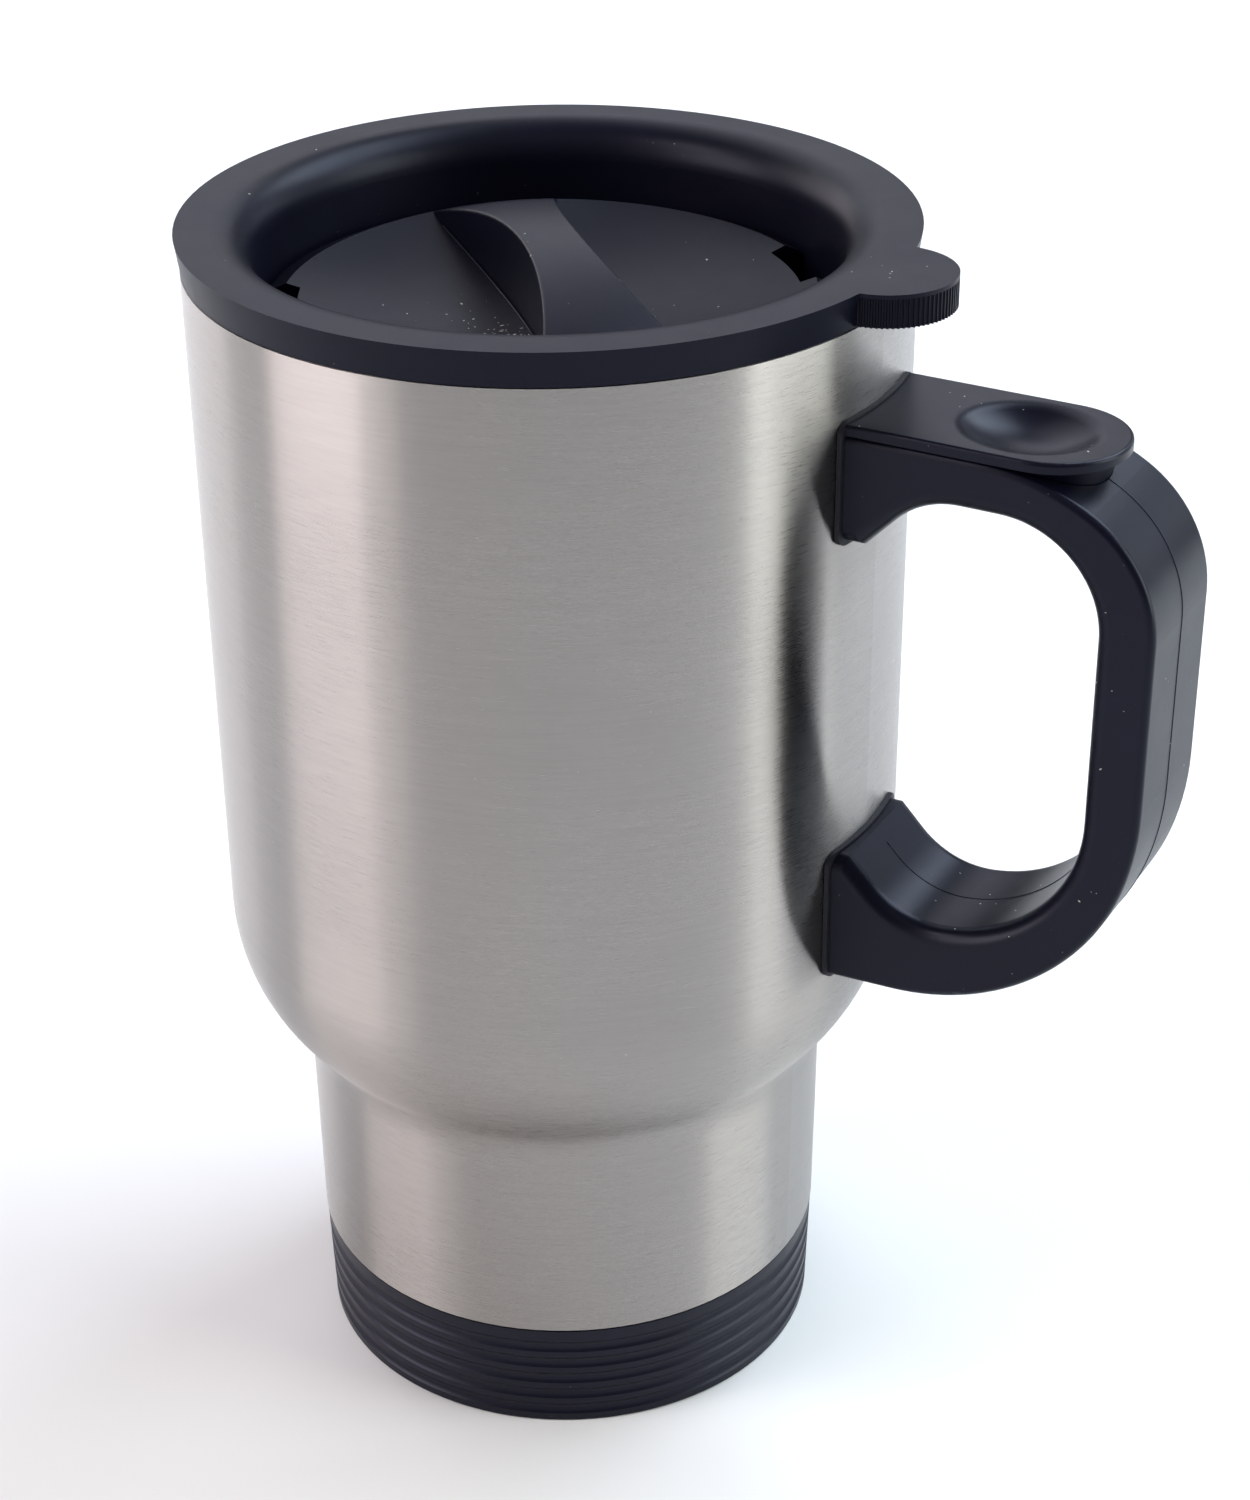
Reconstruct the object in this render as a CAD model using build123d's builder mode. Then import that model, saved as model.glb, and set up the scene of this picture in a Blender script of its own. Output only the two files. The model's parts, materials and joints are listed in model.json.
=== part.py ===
"""Insulated travel mug: double-walled steel body, D handle and push-in lid with a rotary closure.

The origin lies on the mug's axis in the plane it stands on. +Z is up and the handle points along +X.
"""
from build123d import *
import os
from math import acos, ceil, cos, degrees, hypot, radians, sin, sqrt

os.makedirs("parts", exist_ok=True)

# ---- Driving dimensions (millimetres and degrees) --------------------------------------------------

CLEAR = 0.1
FIT = 0.05

# Outer wall
WALL = 0.5
FOOT_R = 34.1
NECK_R = 34.5
SHELL_BOTTOM_Z = 15.9
SHOULDER_Z = 66.4
SHOULDER_R = 43.6
SHOULDER_ARC = 24.6
NECK_CREASE = 8.0
SHELL_TOP_Z = 152.0
SHELL_TOP_R = 43.7

# Inner cup
CUP_WALL = 0.6
CUP_FLOOR_Z = 26.0
CUP_FOOT_R = 29.6
CUP_SHOULDER_Z = 68.0
CUP_SHOULDER_R = 38.4
CUP_SHOULDER_ARC = 30.0
CUP_CREASE = 4.0
CUP_CORNER = 5.0
CUP_NECK_Z = 140.2
CUP_NECK_R = 38.9
MOUTH_Z = 143.2
MOUTH_R = 41.35
FLANGE_T = 0.8
RIM_ROUND = 0.3

# Base
CAP_TOP_Z = 15.6
CAP_TOP_R = 34.0
CAP_BOTTOM_R = 33.5
CAP_WALL = 2.2
CAP_LIFT = 0.2
GROOVE_COUNT = 5
GROOVE_PITCH = 2.7
GROOVE_FIRST_Z = 2.1
GROOVE_R = 1.3
GROOVE_DEPTH = 0.35
COLLAR_TOP_Z = 20.5
PAD_R = 30.0
PAD_T = 1.4
PAD_ROUND = 0.4
DISC_Z = 21.5
DISC_FLANGE = 3.0

# Handle, in its side view
HANDLE_W = 18.2
SPINE_OUT_X = 81.4
SPINE_IN_X = 74.4
UPPER_PIVOT_Z = 122.0
UPPER_OUT_ARC = 16.6
CREST_ARC = 28.0
CREST_TURN = 30.0
UPPER_IN_Z = 121.3
UPPER_IN_ARC = 12.5
ARM_FLARE_X = 57.3
ARM_FLARE_ARC = 11.0
FLARE_TURN = 46.0
UPPER_FOOT_Z = 126.7
LOWER_OUT_Z = 100.8
LOWER_OUT_ARC = 37.6
LOWER_OUT_TURN = 14.5
BELLY_ARC = 31.0
SOLE_SLOPE = 2.9
LOWER_IN_Z = 97.5
LOWER_IN_ARC = 19.3
LOWER_IN_TURN = 82.5
DIP_ARC = 11.2
DIP_TURN = 53.5
LOWER_FOOT_Z = 84.8
HANDLE_EDGE = 0.9
OPENING_EDGE = 2.0
FOOT_SINK = 5.0
TAPER_RUN = 10.0

# Handle pads and fixings
PAD_THICK = 0.6
PAD_LIP = 0.45
PAD_CORNER = 1.5
LOWER_PAD_TOP_Z = 85.1
LOWER_PAD_LOW_Z = 67.3
FIX_UPPER_Z = 134.8
FIX_LOWER_Z = 76.8
SCREW_R = 1.9
SCREW_HOLE_R = 2.1
SCREW_TIP_X = 49.6
HEAD_R = 3.3
HEAD_T = 1.8
HEAD_ROUND = 0.7
SLOT_W = 1.0
SLOT_DEPTH = 0.9
INSERT_R = 2.4
INSERT_X = 44.6
INSERT_L = 5.6
PLATE_T = 0.8
PLATE_HALF_W = 7.0
PLATE_HALF_H = 5.0

# Thumb rest
THUMB_TOP_Z = 141.45
THUMB_END_X = 64.6
THUMB_EDGE = 0.45
BOSS_START_X = 52.0
BOSS_HALF_W = 6.6
BOSS_DRAFT = 20.0
BOSS_BOTTOM_Z = 136.4
DISH_X = 61.9
DISH_HALF_L = 8.1
DISH_HALF_W = 7.0
DISH_DEPTH = 2.4
DISH_EDGE = 3.0
DISH_OVERRUN = 2.0

# Lid
LID_TOP_Z = 156.35
LID_TOP_R = 44.2
LID_EDGE_Z = 152.1
LID_EDGE_R = 43.6
LIP_ROLL = 4.7
WELL_TOP_R = 35.2
WELL_R = 34.9
WELL_WALL = 1.8
DECK_Z = 141.6
DECK_BOTTOM_Z = 139.2
RING_T = 2.3
SKIRT_OUT_R = 40.6
SKIRT_IN_R = 38.4
SKIRT_BOTTOM_Z = 144.0
SKIRT_LEAD = 0.7
SEAL_GROOVE_LOW_Z = 146.2
SEAL_GROOVE_HIGH_Z = 149.2
SEAL_GROOVE_R = 39.6
LIP_R = 41.3
LIP_T = 0.35
HUB_R = 5.5
HUB_BOTTOM_Z = 137.5
TAB_ANGLE = 2.0
TAB_CENTRE_R = 43.0
TAB_R = 8.4
TAB_BOTTOM_Z = 152.4
TAB_ROOT_R = 41.6
RIB_PITCH = 4.2
RIB_SPAN = 176.0
RIB_GROOVE_R = 0.22
RIB_TOP_LAND = 0.5

# Rotary closure
DIAL_R = 34.2
DIAL_BOTTOM_Z = 141.75
DIAL_RIM_Z = 146.3
DIAL_TOP_Z = 154.04
FIN_ANGLE = 135.2
FIN_HALF_W = 3.64
FIN_END = 33.0
FIN_END_HALF_W = 10.72
FIN_SKIN = 1.6
FIN_EDGE = 0.4
FIN_EDGE_MIN_Z = 149.5
FIN_EDGE_MAX_R = 17.0
FIN_POCKET_END = 24.0
SCOOP_BALL_R = 73.0
SCOOP_LOW_Z = 143.73
SCOOP_OFFSET = 10.0
NOTCH_IN_R = 30.2
SIP_SPAN = 40.0
VENT_SPAN = 21.0
PORT_IN_R = 30.4
PORT_OUT_R = 33.8
PORT_MARGIN = 1.0
SEAL_IN_R = 29.5
SEAL_FLOOR_Z = 140.9
SEAL_T = 0.8
DIAL_TRAVEL = 60.0
STOP_R = 20.0
STOP_HALF_W = 1.2
STOP_SPAN = 7.0
STOP_BOTTOM_Z = 140.6
STOP_FLOOR_Z = 140.4
BOSS_R = 3.4
PIVOT_R = 1.45
PIVOT_HOLE_R = 1.75
PIVOT_TOP_Z = 149.0
PIVOT_HEAD_R = 2.8
PIVOT_HEAD_T = 1.6
WASHER_R = 3.6
WASHER_T = 0.7
O_RING_R = 2.25
O_RING_WIRE_R = 0.66
O_RING_SEAT_R = 3.0
O_RING_SEAT_Z = 140.2

# ---- Sizes that follow -----------------------------------------------------------------------------

ARM_TOP_Z = UPPER_PIVOT_Z + CREST_ARC + (UPPER_OUT_ARC - CREST_ARC) * cos(radians(CREST_TURN))
FOOT_CUT_X = SHOULDER_R - FOOT_SINK
DISC_R = FOOT_R - WALL - FIT
VENT_ANGLE = FIN_ANGLE - 90
SIP_ANGLE = FIN_ANGLE + 90
DOME_R = (DIAL_R**2 + (DIAL_TOP_Z - DIAL_RIM_Z) ** 2) / (2 * (DIAL_TOP_Z - DIAL_RIM_Z))
PORTS = ((VENT_ANGLE, VENT_SPAN), (SIP_ANGLE, SIP_SPAN))


# ---- Shared shapes ---------------------------------------------------------------------------------

def shell_r(z):
    """Outside radius of the slightly tapered upper wall."""
    return SHOULDER_R + (SHELL_TOP_R - SHOULDER_R) * (z - SHOULDER_Z) / (SHELL_TOP_Z - SHOULDER_Z)


def vessel_profile(neck_r, foot_r, shoulder_z, shoulder_r, arc, crease, bottom_z, top_z, top_r, corner=0.0):
    """Half section, from the axis out, of a vessel that necks down through a round shoulder."""
    reach = neck_r - shoulder_r + arc
    neck_z = shoulder_z - sqrt(arc**2 - reach**2)
    with BuildSketch(Plane.XZ) as half_section:
        with BuildLine():
            shoulder = JernArc((shoulder_r, shoulder_z), (0, -1), arc, -degrees(acos(reach / arc)))
            Polyline(shoulder @ 1, (foot_r, bottom_z), (0, bottom_z), (0, top_z), (top_r, top_z),
                     shoulder @ 0)
        make_face()
        fillet(half_section.vertices().sort_by_distance((neck_r, neck_z))[0], crease)
        if corner:
            fillet(half_section.vertices().sort_by_distance((foot_r, bottom_z))[0], corner)
    return half_section.sketch


def shell_fill(inset):
    """Half section of the outer wall's solid, moved inwards by inset."""
    return vessel_profile(NECK_R - inset, FOOT_R - inset, SHOULDER_Z, SHOULDER_R - inset,
                          SHOULDER_ARC - inset, NECK_CREASE + inset, SHELL_BOTTOM_Z, SHELL_TOP_Z,
                          SHELL_TOP_R - inset)


def cup_fill(outset):
    """Half section of the inner cup's solid, moved outwards by outset."""
    return vessel_profile(CUP_FOOT_R + outset, CUP_FOOT_R + outset, CUP_SHOULDER_Z,
                          CUP_SHOULDER_R + outset, CUP_SHOULDER_ARC + outset, CUP_CREASE,
                          CUP_FLOOR_Z - outset, CUP_NECK_Z, CUP_NECK_R + outset, CUP_CORNER + outset)


def half_section_of(*points):
    """Closed straight-sided half section in the XZ plane."""
    with BuildSketch(Plane.XZ) as section:
        with BuildLine():
            Polyline(*points, close=True)
        make_face()
    return section.sketch


def wall_cone(outset):
    """Half section of the upper wall's taper, moved outwards by outset, to shape what seats on it."""
    low_z = SHOULDER_Z - TAPER_RUN
    return half_section_of((0, low_z), (shell_r(low_z) + outset, low_z),
                           (SHELL_TOP_R + outset, SHELL_TOP_Z), (0, SHELL_TOP_Z))


def arc_slot(inner_r, outer_r, centre_angle, span):
    """Ring sector in plan."""
    with BuildSketch() as slot:
        with BuildLine():
            outer = CenterArc((0, 0), outer_r, centre_angle - span / 2, span)
            inner = CenterArc((0, 0), inner_r, centre_angle - span / 2, span)
            Line(outer @ 0, inner @ 0)
            Line(outer @ 1, inner @ 1)
        make_face()
    return slot.sketch


def stadium(start_x, end_x, half_width):
    """Plan of a bar along +X with a round end centred at end_x."""
    with BuildSketch() as plan:
        with Locations(((start_x + end_x) / 2, 0)):
            Rectangle(end_x - start_x, 2 * half_width)
        with Locations((end_x, 0)):
            Circle(half_width)
    return plan.sketch


def fin_plane(z):
    """Horizontal plane whose X runs along the grip fin."""
    return Plane(origin=(0, 0, z), x_dir=(cos(radians(FIN_ANGLE)), sin(radians(FIN_ANGLE)), 0),
                 z_dir=(0, 0, 1))


def fin_side(inset):
    """Waisted side line of the grip fin, moved inwards by inset, in the fin's plane."""
    return ThreePointArc((-FIN_END, FIN_END_HALF_W - inset), (0, FIN_HALF_W - inset),
                         (FIN_END, FIN_END_HALF_W - inset))


def wall_plate(low_z, high_z, half_width, near, far, hole_z):
    """Plate curved to the upper wall, between two offsets from its outside, with a screw hole."""
    with BuildPart() as plate:
        with BuildSketch(Plane.YZ):
            with Locations((0, (low_z + high_z) / 2)):
                RectangleRounded(2 * half_width, high_z - low_z, PAD_CORNER)
        extrude(amount=INSERT_X + INSERT_L)
        add(wall_cone(far))
        revolve(axis=Axis.Z, mode=Mode.INTERSECT)
        add(wall_cone(near))
        revolve(axis=Axis.Z, mode=Mode.SUBTRACT)
        with BuildSketch(Plane.YZ):
            with Locations((0, hole_z)):
                Circle(SCREW_HOLE_R)
        extrude(amount=INSERT_X + INSERT_L, mode=Mode.SUBTRACT)
    return plate


def save(builder, name):
    """Label the piece and write it."""
    builder.part.label = name
    export_step(builder.part, f"parts/{name}.step")


# ---- Body ------------------------------------------------------------------------------------------

with BuildPart() as outer_shell:
    add(shell_fill(0))
    revolve(axis=Axis.Z)
    add(shell_fill(WALL))
    revolve(axis=Axis.Z, mode=Mode.SUBTRACT)
    with BuildSketch(Plane.YZ):
        with Locations((0, FIX_UPPER_Z), (0, FIX_LOWER_Z)):
            Circle(SCREW_HOLE_R)
    extrude(amount=SHELL_TOP_R + CLEAR, mode=Mode.SUBTRACT)
save(outer_shell, "outer_shell")

with BuildPart() as inner_liner:
    add(cup_fill(CUP_WALL))
    revolve(axis=Axis.Z)
    flange_z = SHELL_TOP_Z - FLANGE_T
    flange_r = SHELL_TOP_R - WALL - FIT
    neck_out_r = CUP_NECK_R + CUP_WALL
    mouth_out_r = MOUTH_R + CUP_WALL
    add(half_section_of((0, CUP_NECK_Z), (neck_out_r, CUP_NECK_Z), (mouth_out_r, MOUTH_Z),
                        (mouth_out_r, flange_z), (flange_r, flange_z), (flange_r, SHELL_TOP_Z),
                        (0, SHELL_TOP_Z)))
    revolve(axis=Axis.Z)
    add(cup_fill(0))
    revolve(axis=Axis.Z, mode=Mode.SUBTRACT)
    add(half_section_of((0, CUP_NECK_Z), (CUP_NECK_R, CUP_NECK_Z), (MOUTH_R, MOUTH_Z),
                        (MOUTH_R, SHELL_TOP_Z), (0, SHELL_TOP_Z)))
    revolve(axis=Axis.Z, mode=Mode.SUBTRACT)
    rim_edges = inner_liner.edges().filter_by(GeomType.CIRCLE).group_by(Axis.Z)[-1]
    fillet(rim_edges.sort_by(SortBy.RADIUS)[0], RIM_ROUND)
save(inner_liner, "inner_liner")

with BuildPart() as bottom_disc:
    with BuildSketch(Plane.XY.offset(DISC_Z)):
        Circle(DISC_R)
    extrude(amount=DISC_FLANGE)
    with BuildSketch(Plane.XY.offset(DISC_Z + CUP_WALL)):
        Circle(DISC_R - CUP_WALL)
    extrude(amount=DISC_FLANGE, mode=Mode.SUBTRACT)
save(bottom_disc, "bottom_disc")

with BuildPart() as base_cap:
    cavity_r = DISC_R - CAP_WALL
    add(half_section_of((0, CAP_LIFT), (CAP_BOTTOM_R, CAP_LIFT), (CAP_TOP_R, CAP_TOP_Z),
                        (DISC_R, CAP_TOP_Z), (DISC_R, COLLAR_TOP_Z), (cavity_r, COLLAR_TOP_Z),
                        (cavity_r, PAD_T + CAP_WALL), (0, PAD_T + CAP_WALL)))
    revolve(axis=Axis.Z)
    with BuildSketch(Plane.XY.offset(CAP_LIFT)):
        Circle(PAD_R + CLEAR)
    extrude(amount=PAD_T - CAP_LIFT + FIT, mode=Mode.SUBTRACT)
    for groove in range(GROOVE_COUNT):
        groove_z = GROOVE_FIRST_Z + groove * GROOVE_PITCH
        edge_r = CAP_BOTTOM_R + (CAP_TOP_R - CAP_BOTTOM_R) * groove_z / CAP_TOP_Z
        with BuildSketch(Plane.XZ):
            with Locations((edge_r + GROOVE_R - GROOVE_DEPTH, groove_z)):
                Circle(GROOVE_R)
        revolve(axis=Axis.Z, mode=Mode.SUBTRACT)
save(base_cap, "base_cap")

with BuildPart() as foot_pad:
    with BuildSketch():
        Circle(PAD_R)
    extrude(amount=PAD_T)
    fillet(foot_pad.edges().group_by(Axis.Z)[0], PAD_ROUND)
save(foot_pad, "foot_pad")

# ---- Handle ----------------------------------------------------------------------------------------

with BuildPart() as handle_body:
    with BuildSketch(Plane.XZ):
        with BuildLine():
            spine = Line((SPINE_OUT_X, LOWER_OUT_Z), (SPINE_OUT_X, UPPER_PIVOT_Z))
            shoulder = JernArc(spine @ 1, (0, 1), UPPER_OUT_ARC, 90 - CREST_TURN)
            crest = JernArc(shoulder @ 1, shoulder % 1, CREST_ARC, CREST_TURN)
            arm_top = Line(crest @ 1, (FOOT_CUT_X, (crest @ 1).Y))
            heel = JernArc(spine @ 0, (0, -1), LOWER_OUT_ARC, -LOWER_OUT_TURN)
            belly = JernArc(heel @ 1, heel % 1, BELLY_ARC, LOWER_OUT_TURN + SOLE_SLOPE - 90)
            sole_length = (FOOT_CUT_X - (belly @ 1).X) / (belly % 1).X
            sole = Line(belly @ 1, (belly @ 1) + (belly % 1) * sole_length)
            Line(sole @ 1, arm_top @ 1)
        make_face()
    extrude(amount=HANDLE_W / 2, both=True)
    outline = handle_body.faces().filter_by(Axis.Y).edges()
    fillet(outline.filter_by(lambda edge: edge.center().X > FOOT_CUT_X + CLEAR), HANDLE_EDGE)
    with BuildSketch(Plane.XZ):
        with BuildLine():
            inside = Line((SPINE_IN_X, LOWER_IN_Z), (SPINE_IN_X, UPPER_IN_Z))
            arch = JernArc(inside @ 1, (0, 1), UPPER_IN_ARC, 90)
            under = Line(arch @ 1, (ARM_FLARE_X, (arch @ 1).Y))
            flare = JernArc(under @ 1, (-1, 0), ARM_FLARE_ARC, FLARE_TURN)
            toe_length = ((flare @ 1).Y - UPPER_FOOT_Z) / sin(radians(FLARE_TURN))
            toe = Line(flare @ 1, (flare @ 1) + (flare % 1) * toe_length)
            palm = JernArc(inside @ 0, (0, -1), LOWER_IN_ARC, -LOWER_IN_TURN)
            dip = JernArc(palm @ 1, palm % 1, DIP_ARC, -DIP_TURN)
            ramp_length = (LOWER_FOOT_Z - (dip @ 1).Y) / (dip % 1).Y
            ramp = Line(dip @ 1, (dip @ 1) + (dip % 1) * ramp_length)
            Polyline(toe @ 1, (FOOT_CUT_X, UPPER_FOOT_Z), (FOOT_CUT_X, LOWER_FOOT_Z), ramp @ 1)
        make_face()
    extrude(amount=HANDLE_W / 2 + CLEAR, both=True, mode=Mode.SUBTRACT)
    cut_edges = handle_body.edges(Select.LAST)
    fillet(cut_edges.filter_by(lambda edge: abs(edge.center().Y) > HANDLE_W / 2 - CLEAR), OPENING_EDGE)
    add(wall_cone(PAD_THICK + FIT))
    revolve(axis=Axis.Z, mode=Mode.SUBTRACT)
    with BuildSketch(Plane.XY.offset(BOSS_BOTTOM_Z - FIT)):
        add(stadium(BOSS_START_X - CLEAR, THUMB_END_X, BOSS_HALF_W + CLEAR))
    extrude(amount=ARM_TOP_Z - BOSS_BOTTOM_Z + CLEAR, taper=-BOSS_DRAFT, mode=Mode.SUBTRACT)
    with BuildSketch(Plane.YZ.offset(FOOT_CUT_X)):
        with Locations((0, FIX_UPPER_Z), (0, FIX_LOWER_Z)):
            Circle(INSERT_R + FIT)
    extrude(amount=INSERT_X + INSERT_L + FIT - FOOT_CUT_X, mode=Mode.SUBTRACT)
save(handle_body, "handle_body")

with BuildPart() as thumb_rest:
    with BuildSketch(Plane.XY.offset(ARM_TOP_Z + FIT)):
        add(stadium(FOOT_CUT_X, THUMB_END_X, HANDLE_W / 2))
    extrude(amount=THUMB_TOP_Z - ARM_TOP_Z - FIT)
    top_edges = thumb_rest.edges().group_by(Axis.Z)[-1]
    fillet(top_edges.filter_by(lambda edge: edge.center().X > FOOT_CUT_X + CLEAR), THUMB_EDGE)
    with BuildSketch(Plane.XY.offset(BOSS_BOTTOM_Z)):
        add(stadium(BOSS_START_X, THUMB_END_X, BOSS_HALF_W))
    extrude(amount=ARM_TOP_Z - BOSS_BOTTOM_Z + CLEAR, taper=-BOSS_DRAFT)
    dish_side_r = (DISH_HALF_W**2 + DISH_DEPTH**2) / (2 * DISH_DEPTH)
    dish_long_r = (DISH_HALF_L**2 + DISH_DEPTH**2) / (2 * DISH_DEPTH)
    dish_axis_z = THUMB_TOP_Z - DISH_DEPTH + dish_side_r
    dish_reach = DISH_HALF_L + DISH_OVERRUN
    dish_end_z = THUMB_TOP_Z - DISH_DEPTH + dish_long_r - sqrt(dish_long_r**2 - dish_reach**2)
    with BuildSketch(Plane.XZ):
        with BuildLine():
            bowl = ThreePointArc((DISH_X - dish_reach, dish_end_z), (DISH_X, THUMB_TOP_Z - DISH_DEPTH),
                                 (DISH_X + dish_reach, dish_end_z))
            Polyline(bowl @ 1, ((bowl @ 1).X, dish_axis_z), ((bowl @ 0).X, dish_axis_z), bowl @ 0)
        make_face()
    revolve(axis=Axis((DISH_X, 0, dish_axis_z), (1, 0, 0)), mode=Mode.SUBTRACT)
    dish_rim = thumb_rest.edges().filter_by(lambda edge: abs(edge.center().Z - THUMB_TOP_Z) < CLEAR)
    fillet(dish_rim.sort_by_distance((DISH_X, 0, THUMB_TOP_Z))[0], DISH_EDGE)
    add(wall_cone(PAD_THICK + FIT))
    revolve(axis=Axis.Z, mode=Mode.SUBTRACT)
save(thumb_rest, "thumb_rest")

for place, fix_z, pad_low_z, pad_high_z in (
        ("upper", FIX_UPPER_Z, UPPER_FOOT_Z - PAD_LIP, THUMB_TOP_Z + PAD_LIP / 2),
        ("lower", FIX_LOWER_Z, LOWER_PAD_LOW_Z, LOWER_PAD_TOP_Z)):
    pad = wall_plate(pad_low_z, pad_high_z, HANDLE_W / 2 + PAD_LIP, FIT, PAD_THICK, fix_z)
    save(pad, f"{place}_handle_pad")

    inner_face = -WALL - FIT
    plate = wall_plate(fix_z - PLATE_HALF_H, fix_z + PLATE_HALF_H, PLATE_HALF_W, inner_face - PLATE_T,
                       inner_face, fix_z)
    save(plate, f"{place}_backing_plate")

    with BuildPart() as insert:
        with BuildSketch(Plane.YZ.offset(INSERT_X)):
            with Locations((0, fix_z)):
                Circle(INSERT_R)
                Circle(SCREW_R + FIT, mode=Mode.SUBTRACT)
        extrude(amount=INSERT_L)
    save(insert, f"{place}_thread_insert")

    seat_x = sqrt((shell_r(fix_z - HEAD_R) - WALL - PLATE_T - FIT) ** 2 - HEAD_R**2) - FIT
    with BuildPart() as screw:
        with BuildSketch(Plane.YZ.offset(seat_x)):
            with Locations((0, fix_z)):
                Circle(HEAD_R)
        extrude(amount=-HEAD_T)
        fillet(screw.edges().group_by(Axis.X)[0], HEAD_ROUND)
        with BuildSketch(Plane.YZ.offset(seat_x - HEAD_T)):
            with Locations((0, fix_z)):
                Rectangle(HEAD_R, SLOT_W)
                Rectangle(SLOT_W, HEAD_R)
        extrude(amount=SLOT_DEPTH, mode=Mode.SUBTRACT)
        with BuildSketch(Plane.YZ.offset(seat_x)):
            with Locations((0, fix_z)):
                Circle(SCREW_R)
        extrude(amount=SCREW_TIP_X - seat_x)
    save(screw, f"{place}_handle_screw")

# ---- Lid -------------------------------------------------------------------------------------------

with BuildPart() as lid_body:
    with BuildSketch(Plane.XZ):
        with BuildLine():
            roll = JernArc((WELL_TOP_R + LIP_ROLL, LID_TOP_Z), (-1, 0), LIP_ROLL, 90)
            Polyline(roll @ 1, (WELL_R, SEAL_FLOOR_Z), (SEAL_IN_R, SEAL_FLOOR_Z), (SEAL_IN_R, DECK_Z),
                     (O_RING_SEAT_R, DECK_Z), (O_RING_SEAT_R, O_RING_SEAT_Z), (PIVOT_HOLE_R, O_RING_SEAT_Z),
                     (PIVOT_HOLE_R, HUB_BOTTOM_Z), (HUB_R, HUB_BOTTOM_Z), (HUB_R, DECK_BOTTOM_Z),
                     (WELL_R + WELL_WALL, DECK_BOTTOM_Z), (WELL_R + WELL_WALL, LID_TOP_Z - RING_T),
                     (SKIRT_IN_R, LID_TOP_Z - RING_T), (SKIRT_IN_R, SKIRT_BOTTOM_Z),
                     (SKIRT_OUT_R - SKIRT_LEAD, SKIRT_BOTTOM_Z), (SKIRT_OUT_R, SKIRT_BOTTOM_Z + SKIRT_LEAD),
                     (SKIRT_OUT_R, SEAL_GROOVE_LOW_Z), (SEAL_GROOVE_R, SEAL_GROOVE_LOW_Z),
                     (SEAL_GROOVE_R, SEAL_GROOVE_HIGH_Z), (SKIRT_OUT_R, SEAL_GROOVE_HIGH_Z),
                     (SKIRT_OUT_R, LID_EDGE_Z), (LID_EDGE_R, LID_EDGE_Z), (LID_TOP_R, LID_TOP_Z), roll @ 0)
        make_face()
    revolve(axis=Axis.Z)
    tab_plane = Plane.XY.rotated((0, 0, TAB_ANGLE)).offset(TAB_BOTTOM_Z)
    with BuildSketch(tab_plane):
        with Locations((TAB_CENTRE_R, 0)):
            Circle(TAB_R)
        Circle(TAB_ROOT_R, mode=Mode.SUBTRACT)
    extrude(amount=LID_TOP_Z - TAB_BOTTOM_Z)
    rib_count = ceil(RIB_SPAN / RIB_PITCH)
    with BuildSketch(tab_plane):
        with Locations((TAB_CENTRE_R, 0)):
            with PolarLocations(TAB_R, rib_count, start_angle=-RIB_SPAN / 2, angular_range=RIB_SPAN):
                Circle(RIB_GROOVE_R)
    extrude(amount=LID_TOP_Z - TAB_BOTTOM_Z - RIB_TOP_LAND, mode=Mode.SUBTRACT)
    for port_angle, port_span in PORTS:
        with BuildSketch(Plane.XY.offset(DECK_BOTTOM_Z)):
            add(arc_slot(PORT_IN_R, PORT_OUT_R, port_angle, port_span - 2 * PORT_MARGIN))
        extrude(amount=DECK_Z - DECK_BOTTOM_Z, mode=Mode.SUBTRACT)
    with BuildSketch(Plane.XY.offset(STOP_FLOOR_Z)):
        add(arc_slot(STOP_R - STOP_HALF_W - CLEAR, STOP_R + STOP_HALF_W + CLEAR,
                     VENT_ANGLE + DIAL_TRAVEL / 2, DIAL_TRAVEL + STOP_SPAN + 2 * PORT_MARGIN))
    extrude(amount=DECK_Z - STOP_FLOOR_Z, mode=Mode.SUBTRACT)
save(lid_body, "lid_body")

with BuildPart() as lid_gasket:
    lip_mid_z = (SEAL_GROOVE_LOW_Z + SEAL_GROOVE_HIGH_Z) / 2
    lip_rise = (SEAL_GROOVE_HIGH_Z - SEAL_GROOVE_LOW_Z) / 4
    add(half_section_of((SEAL_GROOVE_R + FIT, SEAL_GROOVE_LOW_Z + FIT),
                        (SKIRT_OUT_R - CLEAR, SEAL_GROOVE_LOW_Z + FIT),
                        (LIP_R, lip_mid_z - lip_rise), (LIP_R, lip_mid_z - lip_rise + LIP_T),
                        (SKIRT_OUT_R, lip_mid_z), (LIP_R, lip_mid_z + lip_rise),
                        (LIP_R, lip_mid_z + lip_rise + LIP_T),
                        (SKIRT_OUT_R - CLEAR, SEAL_GROOVE_HIGH_Z - FIT),
                        (SEAL_GROOVE_R + FIT, SEAL_GROOVE_HIGH_Z - FIT)))
    revolve(axis=Axis.Z)
save(lid_gasket, "lid_gasket")

with BuildPart() as port_seal:
    with BuildSketch(Plane.XY.offset(SEAL_FLOOR_Z)):
        Circle(WELL_R - CLEAR)
        Circle(SEAL_IN_R + CLEAR, mode=Mode.SUBTRACT)
        for port_angle, port_span in PORTS:
            add(arc_slot(PORT_IN_R, PORT_OUT_R, port_angle, port_span - 2 * PORT_MARGIN), mode=Mode.SUBTRACT)
    extrude(amount=SEAL_T)
save(port_seal, "port_seal")

with BuildPart() as pivot_o_ring:
    with BuildSketch(Plane.XZ):
        with Locations((O_RING_R, O_RING_SEAT_Z + O_RING_WIRE_R + FIT)):
            Circle(O_RING_WIRE_R)
    revolve(axis=Axis.Z)
save(pivot_o_ring, "pivot_o_ring")

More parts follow.
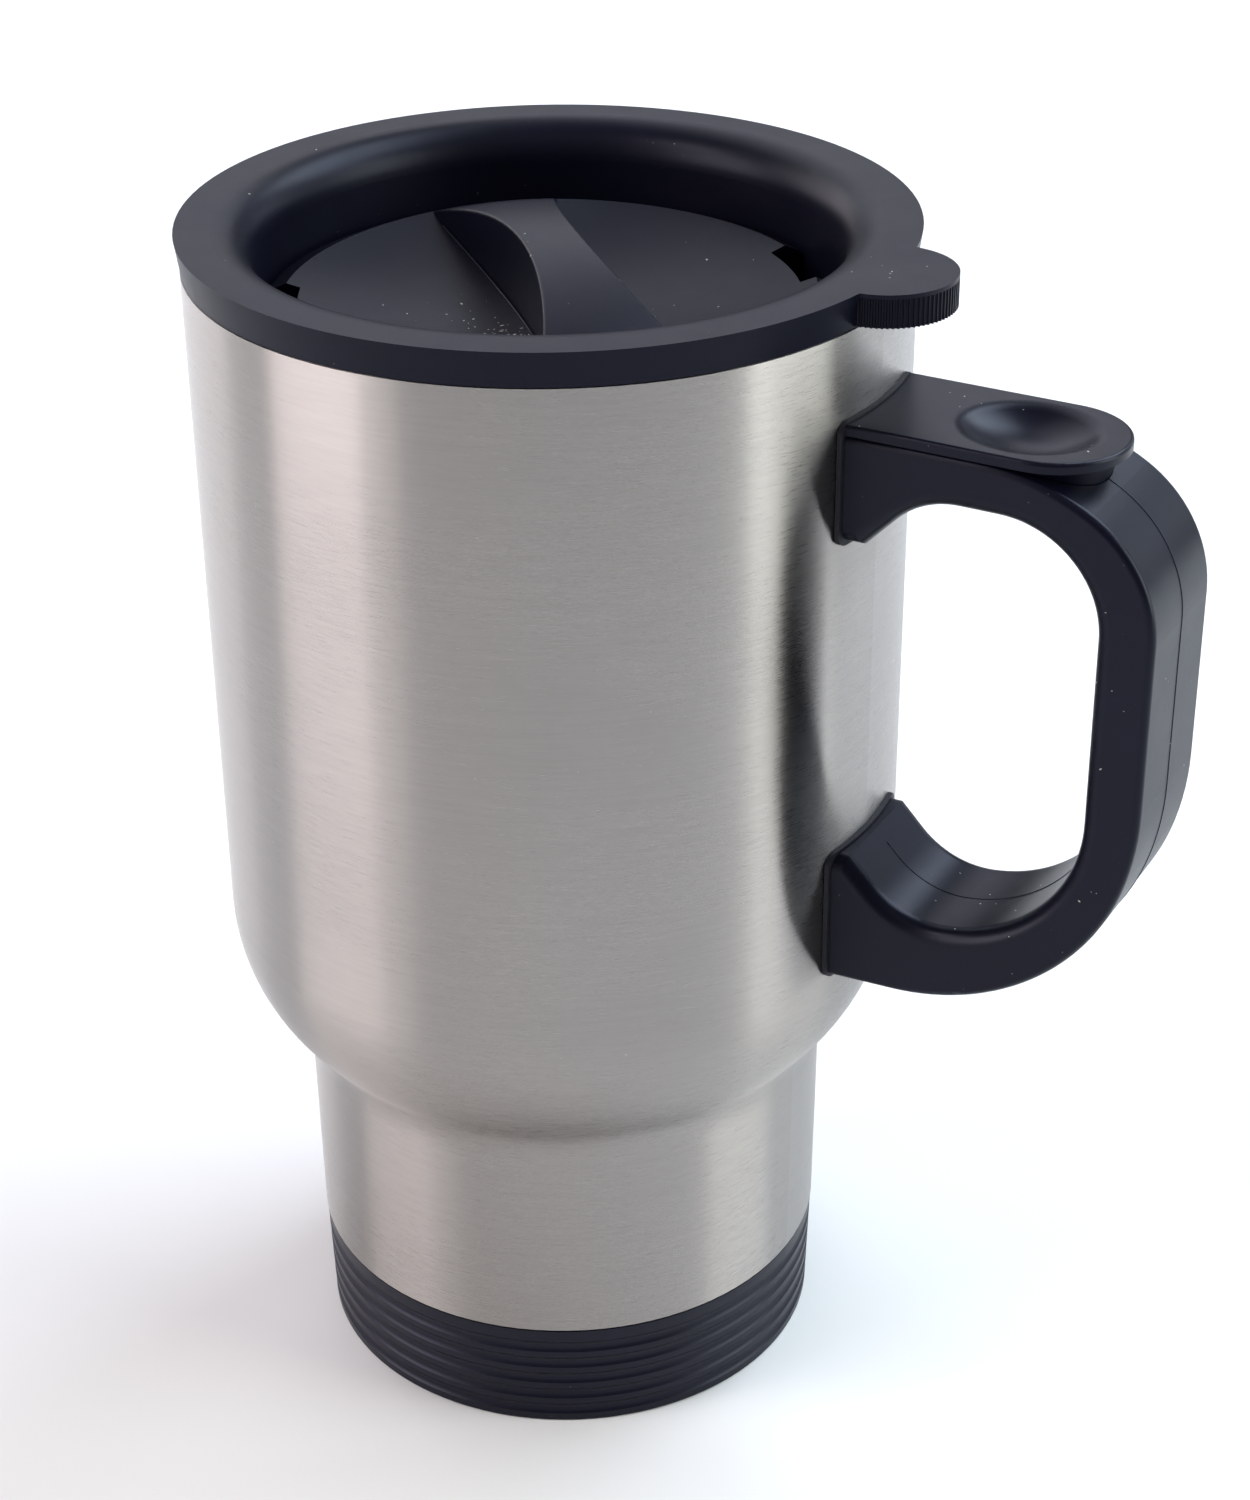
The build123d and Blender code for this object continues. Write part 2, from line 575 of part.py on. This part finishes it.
# ---- Rotary closure --------------------------------------------------------------------------------

with BuildPart() as scoop:
    with BuildSketch(fin_plane(DIAL_BOTTOM_Z)):
        with BuildLine():
            side = fin_side(0)
            Polyline(side @ 1, (FIN_END, 2 * FIN_END), (-FIN_END, 2 * FIN_END), side @ 0)
        make_face()
    extrude(amount=DIAL_TOP_Z - DIAL_BOTTOM_Z)
    with Locations(fin_plane(SCOOP_LOW_Z + SCOOP_BALL_R).from_local_coords((0, SCOOP_OFFSET, 0))):
        Sphere(SCOOP_BALL_R, mode=Mode.INTERSECT)

with BuildPart() as fin_pocket:
    with BuildSketch(fin_plane(DIAL_BOTTOM_Z)):
        with BuildLine():
            left = fin_side(FIN_SKIN)
            right = mirror(left, about=Plane.XZ)
            Line(left @ 0, right @ 0)
            Line(left @ 1, right @ 1)
        make_face()
        Circle(FIN_POCKET_END, mode=Mode.INTERSECT)
        Circle(BOSS_R, mode=Mode.SUBTRACT)
    extrude(amount=DIAL_TOP_Z - DIAL_BOTTOM_Z)
    with Locations((0, 0, DIAL_TOP_Z - DOME_R)):
        Sphere(DOME_R - FIN_SKIN, mode=Mode.INTERSECT)

with BuildPart() as closure_dial:
    with BuildSketch(Plane.XZ):
        with BuildLine():
            rim_slope = degrees(acos((DOME_R - DIAL_TOP_Z + DIAL_RIM_Z) / DOME_R))
            dome = JernArc((0, DIAL_TOP_Z), (1, 0), DOME_R, -rim_slope)
            Polyline(dome @ 1, (DIAL_R, DIAL_BOTTOM_Z), (0, DIAL_BOTTOM_Z), dome @ 0)
        make_face()
    revolve(axis=Axis.Z)
    with PolarLocations(0, 2):
        add(scoop.part, mode=Mode.SUBTRACT)
    add(fin_pocket.part, mode=Mode.SUBTRACT)
    for port_angle, port_span in PORTS:
        with BuildSketch(Plane.XY.offset(DIAL_BOTTOM_Z)):
            add(arc_slot(NOTCH_IN_R, DIAL_R + CLEAR, port_angle, port_span))
        extrude(amount=DIAL_TOP_Z - DIAL_BOTTOM_Z, mode=Mode.SUBTRACT)
    high_edges = closure_dial.edges().filter_by(lambda edge: edge.center().Z > FIN_EDGE_MIN_Z)
    fin_edges = high_edges.filter_by(lambda edge: hypot(edge.center().X, edge.center().Y) < FIN_EDGE_MAX_R)
    fillet(fin_edges, FIN_EDGE)
    with BuildSketch(Plane.XY.offset(STOP_BOTTOM_Z)):
        add(arc_slot(STOP_R - STOP_HALF_W, STOP_R + STOP_HALF_W, VENT_ANGLE, STOP_SPAN))
    extrude(amount=DIAL_BOTTOM_Z - STOP_BOTTOM_Z)
    with BuildSketch(Plane.XY.offset(DIAL_BOTTOM_Z)):
        Circle(PIVOT_R + FIT)
    extrude(amount=PIVOT_TOP_Z - DIAL_BOTTOM_Z, mode=Mode.SUBTRACT)
save(closure_dial, "closure_dial")

with BuildPart() as pivot_washer:
    with BuildSketch(Plane.XY.offset(HUB_BOTTOM_Z - FIT)):
        Circle(WASHER_R)
        Circle(PIVOT_R + CLEAR, mode=Mode.SUBTRACT)
    extrude(amount=-WASHER_T)
save(pivot_washer, "pivot_washer")

with BuildPart() as pivot_screw:
    head_top_z = HUB_BOTTOM_Z - 2 * FIT - WASHER_T
    with BuildSketch(Plane.XY.offset(head_top_z - PIVOT_HEAD_T)):
        Circle(PIVOT_HEAD_R)
    extrude(amount=PIVOT_HEAD_T)
    fillet(pivot_screw.edges().group_by(Axis.Z)[0], HEAD_ROUND)
    with BuildSketch(Plane.XY.offset(head_top_z - PIVOT_HEAD_T)):
        Rectangle(PIVOT_HEAD_R, SLOT_W)
        Rectangle(SLOT_W, PIVOT_HEAD_R)
    extrude(amount=SLOT_DEPTH, mode=Mode.SUBTRACT)
    with BuildSketch(Plane.XY.offset(head_top_z)):
        Circle(PIVOT_R)
    extrude(amount=PIVOT_TOP_Z - head_top_z - CLEAR)
save(pivot_screw, "pivot_screw")
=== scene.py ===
"""Insulated travel mug: surface detail, materials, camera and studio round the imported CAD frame."""

import json
import math
import random

import bmesh
import bpy
from mathutils import Matrix, Vector


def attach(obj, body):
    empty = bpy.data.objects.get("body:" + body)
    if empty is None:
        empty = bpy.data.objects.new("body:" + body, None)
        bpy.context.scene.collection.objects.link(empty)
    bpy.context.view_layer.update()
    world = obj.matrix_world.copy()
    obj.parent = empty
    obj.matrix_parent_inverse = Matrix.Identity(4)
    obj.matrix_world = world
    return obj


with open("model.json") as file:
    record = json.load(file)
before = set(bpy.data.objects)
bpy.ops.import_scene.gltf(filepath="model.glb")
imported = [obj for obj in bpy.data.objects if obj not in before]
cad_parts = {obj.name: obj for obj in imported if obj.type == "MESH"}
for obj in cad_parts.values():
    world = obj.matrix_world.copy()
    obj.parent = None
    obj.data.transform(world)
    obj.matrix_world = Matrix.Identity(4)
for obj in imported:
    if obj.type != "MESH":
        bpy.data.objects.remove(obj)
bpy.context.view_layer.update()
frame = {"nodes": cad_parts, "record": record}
nodes = frame["nodes"]
MM = 0.001

# ---- Camera ----------------------------------------------------------------------------------------

CAMERA_AZIMUTH = -59.35     # of the camera's place, seen from the mug's axis, in degrees
CAMERA_RADIUS = 0.340       # from the mug's axis, in metres
CAMERA_HEIGHT = 0.2723
CAMERA_HEADING = 119.23
CAMERA_PITCH = 28.995
CAMERA_ROLL = -0.533
CAMERA_LENS = 71.75         # on a 36 mm long side


def unit(azimuth, elevation=0.0):
    """Direction with that azimuth from +X and elevation above the floor, in degrees."""
    a, e = math.radians(azimuth), math.radians(elevation)
    return Vector((math.cos(a) * math.cos(e), math.sin(a) * math.cos(e), math.sin(e)))


def make_camera():
    data = bpy.data.cameras.new("camera")
    data.lens = CAMERA_LENS
    data.sensor_width = 36
    data.clip_start = 0.01
    camera = bpy.data.objects.new("camera", data)
    bpy.context.scene.collection.objects.link(camera)
    forward = unit(CAMERA_HEADING, -CAMERA_PITCH)
    level_right = unit(CAMERA_HEADING - 90)
    level_up = level_right.cross(forward)
    roll = math.radians(CAMERA_ROLL)
    right = math.cos(roll) * level_right + math.sin(roll) * level_up
    up = math.cos(roll) * level_up - math.sin(roll) * level_right
    place = unit(CAMERA_AZIMUTH) * CAMERA_RADIUS + Vector((0, 0, CAMERA_HEIGHT))
    turn = Matrix((right, up, -forward)).transposed().to_4x4()
    camera.matrix_world = Matrix.Translation(place) @ turn
    bpy.context.scene.camera = camera


# ---- Studio ----------------------------------------------------------------------------------------

FLOOR_HALF = 6.0
FLOOR_COLOUR = (0.84, 0.84, 0.84, 1)
WORLD_LIGHT = 0.17
FACING = CAMERA_HEADING + 180   # azimuth from the mug towards the camera


def make_floor():
    mesh = bpy.data.meshes.new("floor")
    corners = [(-FLOOR_HALF, -FLOOR_HALF, 0), (FLOOR_HALF, -FLOOR_HALF, 0),
               (FLOOR_HALF, FLOOR_HALF, 0), (-FLOOR_HALF, FLOOR_HALF, 0)]
    mesh.from_pydata(corners, [], [(0, 1, 2, 3)])
    floor = bpy.data.objects.new("floor", mesh)
    bpy.context.scene.collection.objects.link(floor)
    material = bpy.data.materials.new("floor_paper")
    material.use_nodes = True
    shader = material.node_tree.nodes["Principled BSDF"]
    shader.inputs["Base Color"].default_value = FLOOR_COLOUR
    shader.inputs["Roughness"].default_value = 0.9
    shader.inputs["Specular IOR Level"].default_value = 0.0
    mesh.materials.append(material)


def softbox(name, turn, distance, height, width, tall, radiance, colour, aim_z=0.08):
    """Area light standing at an angle from the camera's side, aimed at the mug."""
    data = bpy.data.lights.new(name, "AREA")
    data.shape = "RECTANGLE"
    data.size, data.size_y = width, tall
    data.energy = radiance * math.pi * width * tall
    data.color = colour
    light = bpy.data.objects.new(name, data)
    bpy.context.scene.collection.objects.link(light)
    light.location = unit(FACING + turn) * distance + Vector((0, 0, height))
    aim = Vector((0, 0, aim_z)) - light.location
    light.rotation_mode = "QUATERNION"
    light.rotation_quaternion = aim.to_track_quat("-Z", "Y")
    light.visible_camera = False


def make_world():
    world = bpy.data.worlds.new("studio")
    bpy.context.scene.world = world
    world.use_nodes = True
    background = world.node_tree.nodes["Background"]
    background.inputs["Color"].default_value = (0.96, 0.97, 1.0, 1)
    background.inputs["Strength"].default_value = WORLD_LIGHT


def make_studio():
    make_floor()
    make_world()
    softbox("left_softbox", -73, 1.3, 0.40, 0.80, 1.3, 4.8, (1.0, 0.91, 0.92))
    softbox("left_front_softbox", -50, 1.3, 0.40, 0.25, 1.1, 1.1, (1.0, 0.93, 0.92))
    softbox("left_back_softbox", -130, 1.4, 0.40, 1.05, 1.1, 2.6, (1.0, 0.95, 0.97))
    softbox("right_softbox", 76, 1.3, 0.42, 0.76, 1.4, 5.2, (0.95, 1.0, 0.95))
    softbox("right_back_softbox", 124, 1.2, 0.38, 1.00, 0.42, 1.2, (0.80, 0.90, 1.0))
    softbox("high_right_softbox", 122, 0.85, 1.10, 0.9, 0.8, 6.9, (0.76, 0.88, 1.0))
    softbox("high_left_keylight", -70, 0.75, 0.98, 0.20, 0.20, 17.0, (1.0, 0.95, 0.98))
    softbox("high_back_softbox", -160, 0.9, 1.2, 0.7, 0.6, 1.4, (0.96, 0.95, 1.0))
    softbox("back_softbox", -170, 1.6, 0.95, 1.6, 0.8, 1.45, (0.88, 0.90, 1.0))
    softbox("front_softbox", 0, 0.9, 1.5, 1.0, 0.8, 0.30, (1.0, 0.99, 0.98))
    bpy.context.scene.view_settings.view_transform = "Standard"


# ---- Material building blocks ----------------------------------------------------------------------

class Recipe:
    """A material's node tree, built from the mug's own coordinates in metres."""

    def __init__(self, name):
        self.material = bpy.data.materials.new(name)
        self.material.use_nodes = True
        self.tree = self.material.node_tree
        self.shader = self.tree.nodes["Principled BSDF"]
        self.place = self.node("ShaderNodeTexCoord").outputs["Object"]
        self.bumps = None

    def node(self, kind, **settings):
        made = self.tree.nodes.new(kind)
        for key, value in settings.items():
            setattr(made, key, value)
        return made

    def link(self, source, target):
        self.tree.links.new(source, target)

    def feed(self, target, value):
        """Sets a socket to a value, or links it to another socket."""
        if isinstance(value, bpy.types.NodeSocket):
            self.link(value, target)
        else:
            target.default_value = value

    def set(self, **values):
        """Shader inputs by name, with _ for a space."""
        for key, value in values.items():
            self.feed(self.shader.inputs[key.replace("_", " ")], value)

    def math(self, operation, a, b=0.0, c=0.0, clamp=False):
        made = self.node("ShaderNodeMath", operation=operation, use_clamp=clamp)
        for socket, value in zip(made.inputs, (a, b, c)):
            self.feed(socket, value)
        return made.outputs[0]

    def scaled(self, x, y, z):
        made = self.node("ShaderNodeVectorMath", operation="MULTIPLY")
        self.link(self.place, made.inputs[0])
        made.inputs[1].default_value = (x, y, z)
        return made.outputs[0]

    def axis(self, name):
        made = self.node("ShaderNodeSeparateXYZ")
        self.link(self.place, made.inputs[0])
        return made.outputs[name]

    def noise(self, scale, detail=2.0, rough=0.5, stretch=(1, 1, 1), shift=0.0):
        """Noise from 0 to 1 with a feature size of about 1 / scale metres."""
        made = self.node("ShaderNodeTexNoise", noise_dimensions="4D")
        self.link(self.scaled(*(scale * s for s in stretch)), made.inputs["Vector"])
        made.inputs["W"].default_value = shift
        made.inputs["Scale"].default_value = 1.0
        made.inputs["Detail"].default_value = detail
        made.inputs["Roughness"].default_value = rough
        return made.outputs["Fac"]

    def span(self, value, low, high, to_low=0.0, to_high=1.0, smooth=False):
        kind = "SMOOTHSTEP" if smooth else "LINEAR"
        made = self.node("ShaderNodeMapRange", interpolation_type=kind)
        self.feed(made.inputs["Value"], value)
        ends = {"From Min": low, "From Max": high, "To Min": to_low, "To Max": to_high}
        for name, number in ends.items():
            made.inputs[name].default_value = number
        return made.outputs["Result"]

    def mix(self, factor, a, b):
        made = self.node("ShaderNodeMix", data_type="RGBA")
        self.feed(made.inputs["Factor"], factor)
        for name, value in (("A", a), ("B", b)):
            socket = next(s for s in made.inputs if s.name == name and s.type == "RGBA")
            self.feed(socket, (*value, 1) if isinstance(value, tuple) else value)
        return next(s for s in made.outputs if s.type == "RGBA")

    def bump(self, height, depth, strength=1.0):
        """Adds relief of that depth in metres on top of what is there."""
        made = self.node("ShaderNodeBump")
        made.inputs["Strength"].default_value = strength
        made.inputs["Distance"].default_value = depth
        self.link(height, made.inputs["Height"])
        if self.bumps:
            self.link(self.bumps, made.inputs["Normal"])
        self.bumps = made.outputs["Normal"]
        self.link(self.bumps, self.shader.inputs["Normal"])


# ---- Materials -------------------------------------------------------------------------------------

UPRIGHT_SPREAD = 0.25       # quarter turn of the tangent, across the level hairlines
DUST_COLOUR = (0.20, 0.18, 0.16)
SHEEN_TINT = (0.81, 0.82, 1.0)


def brushed_steel(name, colour, streak, roughness, anisotropy):
    """Steel brushed round the mug's axis: level hairlines, so that its reflections spread upright."""
    r = Recipe(name)
    fine = r.noise(380, 3.0, 0.6, (1, 1, 26))
    coarse = r.noise(110, 2.0, 0.5, (1, 1, 22), shift=3.0)
    cloud = r.noise(26, 3.0, 0.5, (1, 1, 1.4), shift=7.0)
    lines = r.math("ADD", r.span(fine, 0.3, 0.7, -streak, streak),
                   r.span(coarse, 0.3, 0.7, -streak, streak))
    tone = r.math("ADD", lines, r.span(cloud, 0.3, 0.7, -streak, streak))
    pale = tuple(min(1.0, c * 1.2) for c in colour)
    deep = tuple(c * 0.8 for c in colour)
    r.set(Base_Color=r.mix(r.math("ADD", tone, 0.5, clamp=True), deep, pale), Metallic=1.0,
          Anisotropic=anisotropy, Anisotropic_Rotation=UPRIGHT_SPREAD)
    r.set(Roughness=r.math("ADD", r.span(fine, 0.3, 0.7, roughness - 0.03, roughness + 0.03),
                           r.span(cloud, 0.3, 0.7, -0.02, 0.02)))
    tangent = r.node("ShaderNodeTangent", direction_type="RADIAL", axis="Z")
    r.link(tangent.outputs["Tangent"], r.shader.inputs["Tangent"])
    r.bump(fine, 0.0015 * MM)
    return r.material


def moulded_plastic(name, colour, roughness, grain, depth, specular=0.5):
    """Black moulded plastic with a fine spark-eroded grain, faint dust and uneven gloss."""
    r = Recipe(name)
    spark = r.noise(grain, 2.0, 0.6)
    patch = r.noise(60, 3.0, 0.5, shift=5.0)
    worn = r.noise(240, 4.0, 0.6, shift=9.0)
    dust = r.span(r.noise(1700, 1.0, 0.5, shift=13.0), 0.76, 0.82, smooth=True)
    pale = tuple(c * 1.6 for c in colour)
    tinted = r.mix(r.span(patch, 0.3, 0.75), colour, pale)
    r.set(Base_Color=r.mix(r.math("MULTIPLY", dust, 0.30), tinted, DUST_COLOUR),
          Specular_IOR_Level=specular, Specular_Tint=(*SHEEN_TINT, 1))
    r.set(Roughness=r.math("ADD", r.span(patch, 0.3, 0.7, roughness - 0.015, roughness + 0.015),
                           r.span(worn, 0.3, 0.7, -0.015, 0.015)))
    r.bump(spark, depth)
    return r.material


def plain_metal(name, colour, roughness):
    r = Recipe(name)
    grain = r.noise(900, 3.0, 0.6)
    r.set(Base_Color=r.mix(grain, tuple(c * 0.8 for c in colour), colour), Metallic=1.0,
          Roughness=r.span(grain, 0.3, 0.7, roughness - 0.06, roughness + 0.06))
    r.bump(grain, 0.01 * MM)
    return r.material


def make_materials():
    made = {
        "outer_steel": brushed_steel("outer_steel", (0.360, 0.338, 0.323), 0.065, 0.29, 1.0),
        "liner_steel": brushed_steel("liner_steel", (0.58, 0.57, 0.55), 0.06, 0.36, 0.6),
        "lid_plastic": moulded_plastic(
            "lid_plastic", (0.0020, 0.0022, 0.0066), 0.38, 5200, 0.010 * MM, 0.17),
        "handle_plastic": moulded_plastic(
            "handle_plastic", (0.0018, 0.0021, 0.0066), 0.33, 4600, 0.008 * MM, 0.21),
        "base_rubber": moulded_plastic(
            "base_rubber", (0.0026, 0.0028, 0.0076), 0.37, 3600, 0.015 * MM, 0.26),
        "seal_rubber": moulded_plastic(
            "seal_rubber", (0.010, 0.010, 0.012), 0.60, 3200, 0.015 * MM, 0.4),
        "fastener_steel": plain_metal("fastener_steel", (0.62, 0.61, 0.60), 0.32),
        "insert_brass": plain_metal("insert_brass", (0.78, 0.58, 0.28), 0.35),
    }
    for row in frame["record"]["subparts"]:
        material = made[row["material_slot"]]
        node = nodes[row["node"]]
        for slot in node.material_slots:
            slot.material = material
    return made


# ---- Mould line, fin ridges and dust ---------------------------------------------------------------

FIN_ANGLE = 135.2
FIN_END = 33.0              # half the grip fin's length, in mm
FIN_HALF_W = 3.64           # and half its width, in the middle and at the ends
FIN_END_HALF_W = 10.72
RIDGE_REACH = 24
RIDGE_OFFSET = 0.18
RIDGE_R = 0.21 * MM
DOWN = (0, 0, -1)
INWARD = (-0.35, 0.93, 0)   # from the camera's side to the mug's axis
ACROSS = (0, 1, 0)
FORWARD = (-1, 0, 0)        # from the handle's back to the mug's axis
RAY_RUN_UP = 30             # a flake's ray starts this far outside its place, in mm
RAY_REACH = 60 * MM
ABOVE_LID = 170.0           # height that clears the lid, in mm
SAME_POINT = 0.002 * MM
SMALLEST_FLAKE = 0.035      # in mm, as is the largest
LARGEST_FLAKE = 0.11
FULL_TURN = 6.28
BEAD_R = 0.08 * MM
PARTING_CLEAR = 0.0463      # the mould line stops this far from the axis, at the wall pads
BOSS_END = 0.0716           # and here, under the thumb rest, above BOSS_LOW
BOSS_LOW = 0.1345


def chains(edges):
    """Runs of joined edges as lists of points."""
    links = {}
    for edge in edges:
        a, b = edge.verts
        links.setdefault(a, []).append(b)
        links.setdefault(b, []).append(a)
    runs, seen = [], set()
    for start in sorted(links, key=lambda v: (len(links[v]), v.index)):
        if start in seen:
            continue
        run, at = [start], start
        seen.add(start)
        while True:
            onward = [v for v in links[at] if v not in seen]
            if not onward:
                break
            at = onward[0]
            seen.add(at)
            run.append(at)
        runs.append([v.co.copy() for v in run])
    return [run for run in runs if len(run) > 3]


def make_bead(name, runs, radius, material, body):
    """Raised round line along each run of points, carried by a body."""
    curve = bpy.data.curves.new(name, "CURVE")
    curve.dimensions = "3D"
    curve.bevel_depth = radius
    curve.bevel_resolution = 2
    for run in runs:
        spline = curve.splines.new("POLY")
        spline.points.add(len(run) - 1)
        for point, place in zip(spline.points, run):
            point.co = (*place, 1)
    curve.materials.append(material)
    bead = bpy.data.objects.new(name, curve)
    bpy.context.scene.collection.objects.link(bead)
    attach(bead, body)


def make_mould_line(material):
    """Fine raised line that the mould's two halves leave round the middle of the handle."""
    cut = bmesh.new()
    cut.from_mesh(nodes["handle_body"].data)
    bmesh.ops.remove_doubles(cut, verts=cut.verts[:], dist=SAME_POINT)
    everything = cut.verts[:] + cut.edges[:] + cut.faces[:]
    made = bmesh.ops.bisect_plane(cut, geom=everything, plane_co=(0, 0, 0), plane_no=(0, 1, 0))
    cut.verts.index_update()
    edges = [e for e in made["geom_cut"] if isinstance(e, bmesh.types.BMEdge)]
    shown = []
    for edge in edges:
        middle = (edge.verts[0].co + edge.verts[1].co) / 2
        under_rest = middle.x < BOSS_END and middle.z > BOSS_LOW
        if middle.x > PARTING_CLEAR and not under_rest:
            shown.append(edge)
    runs = chains(shown)
    cut.free()
    make_bead("mould_line", runs, BEAD_R, material, "mug")


def on_fin(along, aside, z=150.0):
    """Point given along and beside the grip fin, in mm."""
    a = math.radians(FIN_ANGLE)
    return (along * math.cos(a) - aside * math.sin(a), along * math.sin(a) + aside * math.cos(a), z)


def make_fin_ridges(material):
    """Fine ridges along the foot of the grip fin, where its two walls meet the scoops."""
    waist_r = (FIN_END ** 2 + (FIN_END_HALF_W - FIN_HALF_W) ** 2) / (2 * (FIN_END_HALF_W - FIN_HALF_W))
    for side, name in ((1, "fin_ridge_a"), (-1, "fin_ridge_b")):
        places = []
        for along in range(-RIDGE_REACH, RIDGE_REACH + 1):
            aside = FIN_HALF_W + waist_r - math.sqrt(waist_r ** 2 - along ** 2) + RIDGE_OFFSET
            start = Vector(on_fin(along, side * aside, ABOVE_LID)) * MM
            hit, place, _, _ = nodes["closure_dial"].ray_cast(start, Vector(DOWN), distance=RAY_REACH)
            if hit:
                places.append(place)
        make_bead(name, [places], RIDGE_R, material, "dial")


def dust_material():
    r = Recipe("dust")
    tone = r.noise(700, 2.0, 0.5)
    r.set(Base_Color=r.mix(tone, (0.24, 0.22, 0.20), (0.62, 0.60, 0.58)), Roughness=0.8)
    r.bump(r.noise(9000, 2.0, 0.5), 0.02 * MM)
    return r.material


def sprinkle(name, node, body, seed, places, material, largest=LARGEST_FLAKE):
    """Flakes of dust dropped on a node, in mm. A place is a centre, a way down, a spread and a count."""
    chance = random.Random(seed)
    target = nodes[node]
    flakes = bmesh.new()
    for centre, way, spread, count in places:
        down = Vector(way).normalized()
        side = down.orthogonal().normalized()
        across = down.cross(side)
        for _ in range(count):
            offset = side * chance.gauss(0, spread) + across * chance.gauss(0, spread)
            size = chance.uniform(SMALLEST_FLAKE, largest) * MM
            start = (Vector(centre) + offset) * MM - down * RAY_RUN_UP * MM
            hit, place, normal, _ = target.ray_cast(start, down, distance=RAY_REACH)
            if not hit:
                continue
            turn = normal.to_track_quat("Z", "Y").to_matrix().to_4x4()
            spin = Matrix.Rotation(chance.uniform(0, FULL_TURN), 4, "Z")
            shape = Matrix.Diagonal((size * chance.uniform(0.8, 2.2), size, size * 0.5, 1))
            made = bmesh.ops.create_icosphere(flakes, subdivisions=1, radius=1.0)
            for vertex in made["verts"]:
                vertex.co *= chance.uniform(0.75, 1.2)
            bmesh.ops.transform(flakes, verts=made["verts"],
                                matrix=Matrix.Translation(place) @ turn @ spin @ shape)
    mesh = bpy.data.meshes.new(name)
    flakes.to_mesh(mesh)
    flakes.free()
    mesh.materials.append(material)
    dust = bpy.data.objects.new(name, mesh)
    bpy.context.scene.collection.objects.link(dust)
    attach(dust, body)


def make_dust():
    dust = dust_material()
    sprinkle("dial_dust", "closure_dial", "dial", 5,
             [(on_fin(-4, 8), DOWN, 2.0, 30), (on_fin(-6, 6.6), DOWN, 1.0, 34),
              (on_fin(5, 10), DOWN, 2.5, 10), (on_fin(0, -14), DOWN, 7.0, 12),
              (on_fin(0, 16), DOWN, 7.0, 10)], dust, largest=0.17)
    sprinkle("lid_dust", "lid_body", "lid", 8,
             [((0, 0, 156), DOWN, 34.0, 60), ((43, 1, 156), DOWN, 4.0, 6)], dust)
    sprinkle("handle_dust", "handle_body", "mug", 13,
             [((66, -9, 90), ACROSS, 9.0, 14), ((78, -9, 110), ACROSS, 8.0, 10),
              ((84, 0, 115), FORWARD, 9.0, 10), ((60, 0, 85), DOWN, 6.0, 8)], dust)
    sprinkle("thumb_dust", "thumb_rest", "mug", 21,
             [((60, 0, 141), DOWN, 5.0, 9)], dust)
    sprinkle("shell_dust", "outer_shell", "mug", 34,
             [((15, -43, 105), INWARD, 26.0, 36), ((28, -30, 60), INWARD, 9.0, 12)], dust)


make_camera()
make_studio()
materials = make_materials()
make_mould_line(materials["handle_plastic"])
make_fin_ridges(materials["lid_plastic"])
make_dust()
